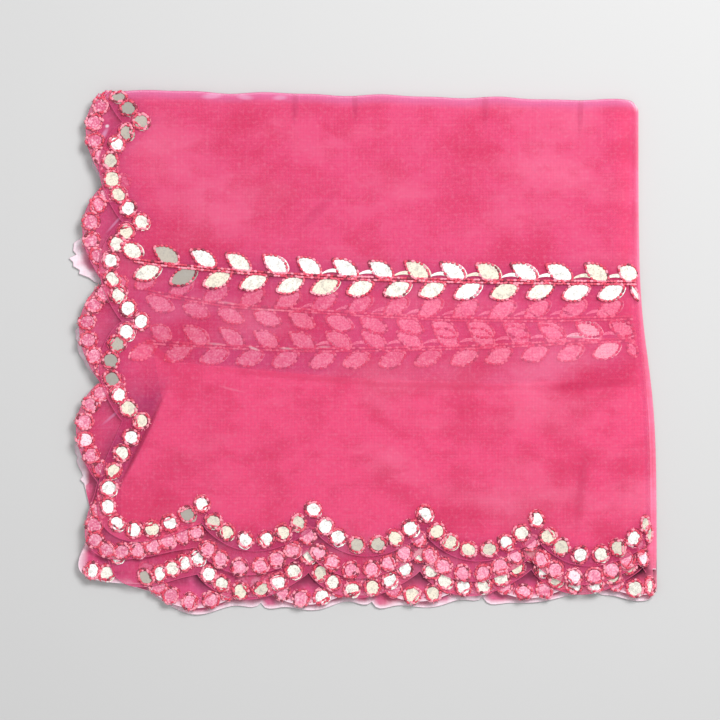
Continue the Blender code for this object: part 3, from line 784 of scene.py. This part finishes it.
def rayon_thread():
    """Twisted embroidery thread, 1 mm thick: mostly crimson, some stitches pale as painted highlights
    and some dark as painted shade.
    """
    made, tree, shader = finish_material(
        "rayon_thread", Roughness=0.42, Sheen_Weight=0.2, Sheen_Roughness=0.4, IOR=1.5,
    )
    place = add(tree, "ShaderNodeTexCoord").outputs["Object"]
    tone = add(tree, "ShaderNodeAttribute", attribute_name="tone").outputs["Fac"]
    fibres = {"Vector": place, "Scale": 1500.0, "Detail": 1.0}
    twist = add(tree, "ShaderNodeTexNoise", fibres).outputs["Fac"]
    colour = layered(tree, linear("#cf3052"), (
        (tone, 0.5, 1.0, 1.0, "#f79db0"),
        (tone, 0.3, 0.0, 1.0, "#5c0c28"),
        (twist, 0.45, 0.75, 0.4, "#ff7f98"),
    ))
    embossed(tree, shader, colour, twist, 0.4, 0.0002)
    return made


def linked(name, data):
    """A new object in the scene."""
    obj = bpy.data.objects.new(name, data)
    bpy.context.scene.collection.objects.link(obj)
    return obj


def mesh_data(name, mesh):
    """A bmesh as mesh data."""
    data = bpy.data.meshes.new(name)
    mesh.to_mesh(data)
    mesh.free()
    return data


def piece(name, mesh, look):
    """A finished piece from a bmesh in plan coordinates, which are moved into the frame."""
    bmesh.ops.translate(mesh, verts=mesh.verts, vec=-PACKET_MIDDLE)
    return placed(name, mesh_data(name, mesh), look)


def placed(name, data, look):
    """A finished piece in the scene, with its look on it, riding on the body."""
    data.materials.append(look)
    data.shade_smooth()
    obj = linked(name, data)
    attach(obj, "root")
    return obj


def scattered(name, copies, look):
    """One piece made of many copies, each a small shape, the matrix that places it, and a tone."""
    vertices, faces, tones = [], [], []
    for shape, matrix, tone in copies:
        corners, loops = shape
        first = len(vertices)
        vertices += [matrix @ corner - PACKET_MIDDLE for corner in corners]
        faces += [[first + i for i in loop] for loop in loops]
        tones += [tone] * len(loops)
    data = bpy.data.meshes.new(name)
    data.from_pydata(vertices, [], faces)
    data.attributes.new("tone", "FLOAT", "FACE").data.foreach_set("value", tones)
    return placed(name, data, look)


def shape_of(mesh):
    """A small bmesh as its corners and its faces' loops, for many copies."""
    mesh.verts.index_update()
    shape = [v.co.copy() for v in mesh.verts], [[v.index for v in f.verts] for f in mesh.faces]
    mesh.free()
    return shape


def chain_link():
    """One loop of chain stitch, one unit long and wide: a thread spun into a ring."""
    mesh = bmesh.new()
    thread = 2 * THREAD_RADIUS / LINK_LENGTH
    circle = bmesh.ops.create_circle(mesh, segments=4, radius=thread)
    turn = Matrix.Translation((0.5 - thread, 0, 0)) @ Matrix.Rotation(pi / 2, 4, "X")
    bmesh.ops.transform(mesh, matrix=turn, verts=circle["verts"])
    bmesh.ops.spin(
        mesh, geom=mesh.verts[:] + mesh.edges[:], cent=(0, 0, 0), axis=(0, 0, 1),
        angle=2 * pi, steps=8, use_merge=True,
    )
    bmesh.ops.recalc_face_normals(mesh, faces=mesh.faces)
    return shape_of(mesh)


def short_stitch():
    """A straight stitch along X, one unit long: a tapered bead of thread."""
    mesh = bmesh.new()
    bmesh.ops.create_icosphere(mesh, subdivisions=1, radius=0.5)
    return shape_of(mesh)


def foil_round():
    """A hand-cut disc of foil, of about unit radius, a little crowned."""
    mesh = bmesh.new()
    bmesh.ops.create_circle(mesh, cap_ends=True, segments=16, radius=1.0)
    for vertex in mesh.verts:
        vertex.co *= draw.uniform(0.93, 1.05)
    bmesh.ops.inset_region(mesh, faces=mesh.faces, thickness=0.22, depth=0.03)
    bmesh.ops.recalc_face_normals(mesh, faces=mesh.faces)
    if mesh.faces[:][0].normal.z < 0:
        bmesh.ops.reverse_faces(mesh, faces=mesh.faces)
    return shape_of(mesh)


def leaf_width(share, pointed):
    """Half width of a leaf at a share of its length, for one rounder at its end or pointed at both."""
    if pointed:
        return sin(pi * share) ** 0.66
    return sin(pi * share ** 1.15) ** (0.72 - 0.20 * share)


def leaf_outline(pointed):
    """The outline of a leaf from -1 to 1 each way, as even steps along both sides."""
    shares = [0.5 - 0.5 * cos(angle) for angle in steps(0.0, pi, LEAF_LINKS // 2 + 1)]
    lower = [Vector((2 * s - 1, -leaf_width(s, pointed), 0)) for s in shares]
    upper = [Vector((2 * s - 1, leaf_width(s, pointed), 0)) for s in shares[1:-1]]
    return lower + upper[::-1]


def foil_leaf(pointed):
    """A leaf of foil in its unit box, a little crowned."""
    mesh = bmesh.new()
    mesh.faces.new([mesh.verts.new(corner) for corner in leaf_outline(pointed)])
    bmesh.ops.inset_region(mesh, faces=mesh.faces, thickness=0.18, depth=0.03)
    return shape_of(mesh)


def piping():
    """A flat strip of foil in a low arch, from -1 to 1."""
    mesh = bmesh.new()
    bmesh.ops.create_grid(mesh, x_segments=10, y_segments=1, size=1.0)
    for vertex in mesh.verts:
        arch = 1.0 - vertex.co.x ** 2
        vertex.co.y = arch + vertex.co.y * 0.40 * (0.35 + 0.65 * arch)
    return shape_of(mesh)


def on_cloth(layer, x, y, lift, turn, size):
    """The matrix that seats a small shape on a layer: sized, turned, and tilted with the cloth."""
    reach = 0.003
    height = cloth_height(layer, x, y)
    slope_x = (cloth_height(layer, x + reach, y) - cloth_height(layer, x - reach, y)) / (2 * reach)
    slope_y = (cloth_height(layer, x, y + reach) - cloth_height(layer, x, y - reach)) / (2 * reach)
    normal = Vector((-slope_x, -slope_y, 1.0)).normalized()
    tilt = Vector((0, 0, 1)).rotation_difference(normal).to_matrix().to_4x4()
    turned = tilt @ Matrix.Rotation(turn, 4, "Z")
    return Matrix.Translation((x, y, height + lift)) @ turned @ Matrix.Diagonal((*size, 1.0))


def thread_tone(pale=6):
    """A tone for one stitch: mostly red, some pale as a painted highlight and a few dark as painted
    shade.
    """
    return draw.choices((0.05, 0.4, 0.6, 0.95), weights=(2, 6, 5, pale))[0]


def ghost_tone(x, y):
    """A tone for one foil seen through cloth: pale to deep, and below zero where a sparkle highlight is
    painted.
    """
    tone = draw.choices((0.0, 0.3, 0.55, 0.8), weights=(4, 4, 3, 2))[0]
    if x < -0.215 and y > -0.185:
        tone = min(0.5 + tone * 0.7, 1.0)
    elif y < -0.15 or x > -0.200:
        tone *= 0.6
    return -1.0 if near(SPARKLES, x, y) else tone


def foil_tone(x, y, greyish=2):
    """A tone for one foil's painted reflection: white to cream, seldom greyish, or grey in the places
    of darker reflection.
    """
    tone = draw.choices((0.0, 0.3, 0.55, 0.70), weights=(8, 4, 3, greyish))[0]
    return draw.uniform(0.80, 1.0) if near(DARK_REFLECTION_PLACES, x, y) else tone


LINK = chain_link()
STITCH = short_stitch()
ROUNDS = [foil_round() for _ in range(6)]
PIPING = piping()
LEAVES = {pointed: foil_leaf(pointed) for pointed in (False, True)}
OUTLINES = {pointed: leaf_outline(pointed) for pointed in (False, True)}


def link_size(lengths, widths):
    """The size of one chain link, its length and width drawn between two shares of the usual one."""
    return LINK_LENGTH * draw.uniform(*lengths), LINK_WIDTH * draw.uniform(*widths), LINK_LENGTH


def sewn(shape, layer, place, spot, turn, lift, way, size, pale=6):
    """One stitch at a spot, which is turned round a place, with a tone of its own."""
    x, y = place
    spot.rotate(Matrix.Rotation(turn, 2))
    return shape, on_cloth(layer, x + spot.x, y + spot.y, lift, way, size), thread_tone(pale)


def round_spot(number, count, strays, radius, reach, squash):
    """The angle and the place of one of count spots round an oval, a little astray each way."""
    angle = 2 * pi * (number + draw.uniform(-strays, strays)) / count
    radius *= draw.uniform(*reach)
    return angle, Vector((radius * cos(angle), radius * squash * sin(angle)))


def ring_of_stitches(layer, centre, lift, squash, turn):
    """Chain links round one mirror, on some mirrors three across it, and loose ticks outside."""
    copies = []
    for number in range(RING_LINKS):
        angle, spot = round_spot(number, RING_LINKS, 0.25, RING_RADIUS, (0.88, 1.10), squash)
        size = link_size((0.9, 1.35), (0.75, 1.25))
        way = angle + turn + pi / 2 + draw.uniform(-0.45, 0.45)
        copies.append(sewn(LINK, layer, centre, spot, turn, lift, way, size))
    if draw.random() < CROSSED_SHARE:
        way = draw.uniform(0.0, 2 * pi)
        size = (LINK_LENGTH * 1.1, LINK_WIDTH * 0.8, LINK_LENGTH)
        for step in (-1, 0, 1):
            spot = Vector((FOIL_RADIUS * draw.uniform(0.55, 0.75), step * CROSSING_PITCH))
            copies.append(sewn(LINK, layer, centre, spot, way, lift, way + pi / 2, size))
    for number in range(TICKS):
        angle, spot = round_spot(number, TICKS, 0.35, TICK_RADIUS, (0.93, 1.06), squash)
        astray = number % 3 == 0
        length = draw.uniform(0.0034, 0.0055) if astray else draw.uniform(0.0014, 0.0028)
        size = (length, TICK_WIDTH, TICK_WIDTH)
        way = angle + turn + (pi / 2 if astray else draw.uniform(-0.9, 0.9))
        copies.append(sewn(STITCH, layer, centre, spot, turn, lift * 0.6, way, size))
    return copies


def mirror_border(layer, foil_lift, ring_lift):
    """The foils and the stitching of one layer's chain of mirrors."""
    foils, stitches = [], []
    mirrors = [(centre, None) for centre in mirror_centres(layer)]
    for name, x, y, narrow in FOLDED_MIRRORS:
        if name == layer["name"]:
            mirrors.append((Vector((x, y)), narrow))
    for centre, narrow in mirrors:
        squash = draw.uniform(0.84, 1.0)
        turn = draw.uniform(0.0, pi)
        if centre.y > back_fold(layer, centre.x) - layer["roll_back"] - FOIL_RADIUS:
            squash, turn = 0.6, 0.0
        if centre.x > right_fold(layer, centre.y) - layer["roll_right"] * 0.3 - FOIL_RADIUS:
            squash, turn = narrow or 0.5, pi / 2
        tone = ghost_tone(*centre) if layer["name"] == "second" else foil_tone(*centre)
        radius = FOIL_RADIUS * draw.uniform(0.93, 1.03)
        size = (radius, radius * squash, radius)
        shape = draw.choice(ROUNDS)
        foils.append((shape, on_cloth(layer, *centre, foil_lift, turn, size), tone))
        if draw.random() < SLIPPED_SHARE:
            shift = Vector((draw.uniform(-0.001, 0.0028), -draw.uniform(0.0016, 0.0032)))
            under = on_cloth(layer, *(centre + shift), foil_lift - SLIP_DEPTH, turn, size)
            foils.append((shape, under, tone))
        stitches += ring_of_stitches(layer, centre, ring_lift, squash, turn)
    return foils, stitches


def leaf_vine(layer, stem, first_xs, tilts, foil_lift, link_lift):
    """The foils and the stitching of one leaf vine: leaves on both sides of a double chain line."""
    foils, stitches = [], []
    reach_x = right_fold(layer, 0.05) - layer["roll_right"] * 0.3
    for first_x, tilt, side, pointed in zip(first_xs, tilts, (1, -1), (False, True)):
        leaf, outline = LEAVES[pointed], OUTLINES[pointed]
        for number in range(MOST_LEAVES):
            x = first_x + number * LEAF_PITCH + draw.uniform(-0.0008, 0.0008)
            over = x + LEAF_LENGTH / 2 - reach_x - 0.001
            if over > LEAF_LENGTH * HIDDEN_LEAF:
                break
            length = min(1.0, 1.0 - over / LEAF_LENGTH)
            x -= max(over, 0.0) / 2
            y = stem(x) + side * LEAF_OFFSET + draw.uniform(-0.0006, 0.0006)
            turn = tilt + draw.uniform(-0.07, 0.07)
            if number == 0 and side == 1:
                length = FIRST_LEAF
            half_length = LEAF_LENGTH / 2 * length * draw.uniform(0.97, 1.05)
            half_width = LEAF_WIDTH / 2 * draw.uniform(1.04, 1.14)
            inner = (half_length * LEAF_FOIL, half_width * LEAF_FOIL, LEAF_CROWN)
            tone = foil_tone(x, y, 0) if layer["name"] == "top" else ghost_tone(x, y)
            foils.append((leaf, on_cloth(layer, x, y, foil_lift, turn, inner), tone))
            if draw.random() < SLIPPED_LEAVES and over < 0:
                low = foil_lift - SLIP_DEPTH
                under = on_cloth(layer, x + 0.0028, y + 0.0004 * side, low, turn, inner)
                foils.append((leaf, under, tone))
            for i, corner in enumerate(outline):
                spot = Vector((corner.x * half_length, corner.y * half_width))
                ahead = outline[(i + 1) % len(outline)] - outline[i - 1]
                way = atan2(ahead.y * half_width, ahead.x * half_length) + turn
                way += draw.uniform(-0.15, 0.15)
                size = link_size((0.95, 1.2), (0.9, 1.15))
                stitches.append(sewn(LINK, layer, (x, y), spot, turn, link_lift, way, size, 5))
            if side == 1 and x > PIPING_START_X:
                over_x, over_y = x + PIPING_SHIFT[0], stem(x) + PIPING_SHIFT[1]
                where = on_cloth(layer, over_x, over_y, foil_lift, PIPING_TURN, PIPING_SIZE)
                foils.append((PIPING, where, tone))
    x = min(first_xs) + 0.004
    while x < reach_x - 0.001:
        slope = (stem(x + 0.002) - stem(x - 0.002)) / 0.004
        for shift in (-0.0014, 0.0012):
            size = link_size((1.05, 1.4), (0.8, 1.0))
            way = atan(slope) + draw.uniform(-0.2, 0.2)
            place = on_cloth(layer, x, stem(x) + shift, link_lift, way, size)
            stitches.append((LINK, place, thread_tone(7)))
        x += LINK_LENGTH * STEM_PITCH
    return foils, stitches


def cut_grid(mesh, cell):
    """Cuts a flat outline into square cells, so that it can be shaped."""
    for axis in (0, 1):
        reach = [vertex.co[axis] for vertex in mesh.verts]
        low, high = min(reach), max(reach)
        normal = Vector((0, 0, 0))
        normal[axis] = 1.0
        for number in range(1, int((high - low) / cell) + 1):
            bmesh.ops.bisect_plane(
                mesh, geom=mesh.verts[:] + mesh.edges[:] + mesh.faces[:], dist=1e-6,
                plane_co=normal * (low + number * cell), plane_no=normal,
            )


def fold_out(layer, x, y):
    """The way in plan in which a fold's roll leads out of the packet."""
    middle_x, middle_y, radius_x, radius_y = corner_middle(layer)
    if x > middle_x and y > middle_y:
        return Vector(((x - middle_x) / radius_x, (y - middle_y) / radius_y, 0)).normalized()
    return Vector((0, 1, 0)) if y > middle_y else Vector((1, 0, 0))


def roll_over(mesh, layer, folds):
    """Carries a sheet on from its fold line, down and round the fold, flattened at its front end."""
    front_end = min(vertex.co.y for edge in folds for vertex in edge.verts)
    for row in range(1, ROLL_ROWS + 1):
        result = bmesh.ops.extrude_edge_only(mesh, edges=folds)["geom"]
        folds = [item for item in result if isinstance(item, bmesh.types.BMEdge)]
        for vertex in (item for item in result if isinstance(item, bmesh.types.BMVert)):
            out = fold_out(layer, vertex.co.x, vertex.co.y)
            share = out.y * out.y
            near_end = smooth(front_end + FLATTENED_REACH, front_end, vertex.co.y)
            flattened = 1.0 - FLATTENED * near_end
            radius = layer["roll_right"] * (1.0 - share) * flattened + layer["roll_back"] * share
            whole = radians(ROLL_DEGREES + BACK_ROLL_MORE * share)
            before, after = whole * (row - 1) / ROLL_ROWS, whole * row / ROLL_ROWS
            vertex.co += out * radius * (sin(after) - sin(before))
            vertex.co.z -= radius * (cos(before) - cos(after))


def cloth_sheet(name, layer, cell, look):
    """One layer of cloth: a sheet with scalloped cut edges, rolled over its folds if it has rolls."""
    mesh = bmesh.new()
    edge = cut_edge(layer)
    folds = fold_line(layer, edge[-1].y, edge[0].x)
    corners = [mesh.verts.new((p.x, p.y, 0.0)) for p in edge[:-1] + folds[:-1]]
    mesh.faces.new(corners)
    for a, b in zip(corners[len(edge) - 1:], corners[len(edge):] + corners[:1]):
        mesh.edges.get((a, b)).seam = True
    cut_grid(mesh, cell)
    for vertex in mesh.verts:
        vertex.co.z = cloth_height(layer, vertex.co.x, vertex.co.y)
    if layer["roll_back"]:
        roll_over(mesh, layer, [e for e in mesh.edges if e.seam and e.is_boundary])
    floats = mesh.verts.layers.float
    depth, rim, shadow = (floats.new(tone) for tone in ("depth", "rim", "painted_edge_shadow"))
    from_edge = edge_finder(layer)
    names = list(LAYERS)
    above = None if layer["name"] == "top" else LAYERS[names[names.index(layer["name"]) + 1]]
    from_above = edge_finder(above) if above else None
    for vertex in mesh.verts:
        x, y, _ = vertex.co
        if above:
            vertex[shadow] = painted_edge_shadow(above, from_above(x, y), x, y)
            vertex[depth] = 0.75 * smooth(0.004, 0.018, right_fold(layer, y) - x)
        else:
            vertex[depth] = top_depth_and_shade(x, y)
        vertex[rim] = fold_rim(layer, x, y, from_edge(x, y))
    return piece(name, mesh, look)


def hidden_flap(name, look):
    """The flap that is turned in under the top layer, whose edge shows through it."""
    top, second = LAYERS["top"], LAYERS["second"]
    mesh = bmesh.new()
    ends = [(x - top["notch_x"]) / PITCH_FRONT for x in (FLAP_SIDE[1][0], FLAP_EDGE[-1][0])]
    front = [front_point(top, share, ON_CHAIN) for share in steps(*ends, 70)]
    outline = list(FLAP_SIDE) + [tuple(place) for place in front] + list(FLAP_EDGE[::-1])
    mesh.faces.new([mesh.verts.new((x, y, 0.0)) for x, y in outline])
    cut_grid(mesh, FLAP_CELL)
    for vertex in mesh.verts:
        vertex.co.z = cloth_height(second, vertex.co.x, vertex.co.y) + FLAP_LIFT
    for tone in ("depth", "rim"):
        mesh.verts.layers.float.new(tone)
    return piece(name, mesh, look)


def hem(layer, look):
    """The rolled hem along a layer's cut edge."""
    curve = bpy.data.curves.new("hem", "CURVE")
    curve.dimensions = "3D"
    curve.bevel_depth = HEM_RADIUS
    curve.bevel_resolution = 1
    curve.use_fill_caps = True
    line = cut_edge(layer)
    spline = curve.splines.new("POLY")
    spline.points.add(len(line) - 1)
    for point, place in zip(spline.points, line):
        height = cloth_height(layer, place.x, place.y)
        point.co = (place.x - PACKET_MIDDLE.x, place.y - PACKET_MIDDLE.y, height, 1.0)
    holder = bpy.data.objects.new("hem", curve)
    data = bpy.data.meshes.new_from_object(holder)
    bpy.data.objects.remove(holder)
    # The hems take the rims' paler colour, which is partly painted light.
    rim = 0.85 if layer["name"] in HIDDEN_LAYERS else 0.3
    for name, tone in (("depth", 0.4), ("rim", rim)):
        values = data.attributes.new(name, "FLOAT", "POINT").data
        values.foreach_set("value", [tone] * len(data.vertices))
    return placed(layer["name"] + "_hem", data, look)


def main():
    """Builds every piece: the sheets with their hems, the mirrors, the vines and the hidden flap."""
    # The pale colours are the rims': painted highlights at the folds, and partly painted light at the
    # lowest layers' cut edges.
    sheer = organza("organza", "#fa5689", "#b8346c", "#dd6ca6", 0.55, TOP_PAINTED_LIGHT)
    sheer_inner = organza("organza_inner", "#fa5689", "#d24d80", "#e77aac", 0.50, INNER_PAINTED_GLINTS)
    sheer_under = organza("organza_in_layers", "#f2608f", "#cf4e83", "#ffeef8", 0.20, UNDER_PAINTED_SHADE)
    over_foil = organza_over_foil()
    foil = mirror_foil()
    thread = rayon_thread()
    sheets, riders = {}, {}
    for name, layer in LAYERS.items():
        hidden = name in HIDDEN_LAYERS
        look = sheer_under if hidden else sheer if name == "top" else sheer_inner
        cell = TOP_CELL if name == "top" else CELL
        sheet = cloth_sheet(name + "_sheet", layer, cell, look)
        sheets[name] = sheet
        riders[name] = [hem(layer, look)]
        if not hidden:
            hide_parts(name + "_layer")
    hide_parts("folded_core")

    for name in ("top", "third", "second", "fourth"):
        wrong_side = name in ("second", "fourth")
        lifts = WRONG_SIDE_LIFTS if wrong_side else RIGHT_SIDE_LIFTS
        foils, stitches = mirror_border(LAYERS[name], *lifts)
        look = over_foil if wrong_side else foil
        if name == "fourth":
            bare = [
                copy for copy in foils
                if any((copy[1].translation.xy - Vector(at)).length < BARE_REACH for at in BARE_PLACES)
            ]
            foils = [copy for copy in foils if copy not in bare]
            riders[name].append(scattered(name + "_bare_mirrors", bare, foil))
        riders[name].append(scattered(name + "_mirrors", foils, look))
        riders[name].append(scattered(name + "_mirror_stitches", stitches, thread))
    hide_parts("top_mirror_border")
    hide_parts("third_mirror_border")

    turned = (UPPER_LEAF_TILT, LOWER_LEAF_TILT)
    mirrored = (-UPPER_LEAF_TILT, -LOWER_LEAF_TILT)
    for name, stem, first_xs, tilts, lifts in (
        ("top", first_stem, (-0.2043, -0.1905), turned, RIGHT_SIDE_LIFTS),
        ("second", lambda x: along(SECOND_STEM, x), (-0.1923, -0.1791), mirrored, WRONG_SIDE_LIFTS),
        ("third", lambda x: along(THIRD_STEM, x), (-0.1791, -0.1940), turned, THIRD_VINE_LIFTS),
    ):
        foils, stitches = leaf_vine(LAYERS[name], stem, first_xs, tilts, *lifts)
        look = foil if name == "top" else over_foil
        riders[name].append(scattered(name + "_vine_leaves", foils, look))
        riders[name].append(scattered(name + "_vine_stitches", stitches, thread))
    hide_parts("leaf_vine")

    flap = hidden_flap("hidden_flap", sheer_inner)


def studio():
    """A plain pale floor, a soft key light from the back right, a broad fill, and a camera above."""
    mesh = bmesh.new()
    bmesh.ops.create_grid(mesh, x_segments=1, y_segments=1, size=FLOOR_REACH)
    floor = linked("floor", mesh_data("floor", mesh))
    paint, _, shader = finish_material("painted_floor", Roughness=0.8)
    shader.inputs["Base Color"].default_value = linear("#c2c2c2")
    floor.data.materials.append(paint)

    world = bpy.data.worlds.new("studio")
    world.use_nodes = True
    background = world.node_tree.nodes["Background"]
    background.inputs["Color"].default_value = linear("#ffffff")
    background.inputs["Strength"].default_value = LIGHT_ALL_ROUND
    bpy.context.scene.world = world
    for name, place, size, power in LAMPS:
        lamp = bpy.data.lights.new(name, "AREA")
        lamp.size = size
        lamp.energy = power
        obj = linked(name, lamp)
        obj.location = place
        obj.rotation_euler = (-Vector(place)).to_track_quat("-Z", "Y").to_euler()

    camera = bpy.data.cameras.new("camera")
    camera.lens = 100.0
    camera.sensor_width = 36.0
    camera.clip_end = 20.0
    holder = linked("camera", camera)
    x, y, height = VIEW_MIDDLE
    holder.location = (x, y, height + VIEW_WIDTH * camera.lens / camera.sensor_width)
    bpy.context.scene.camera = holder
    bpy.context.scene.view_settings.view_transform = "Standard"


main()
studio()
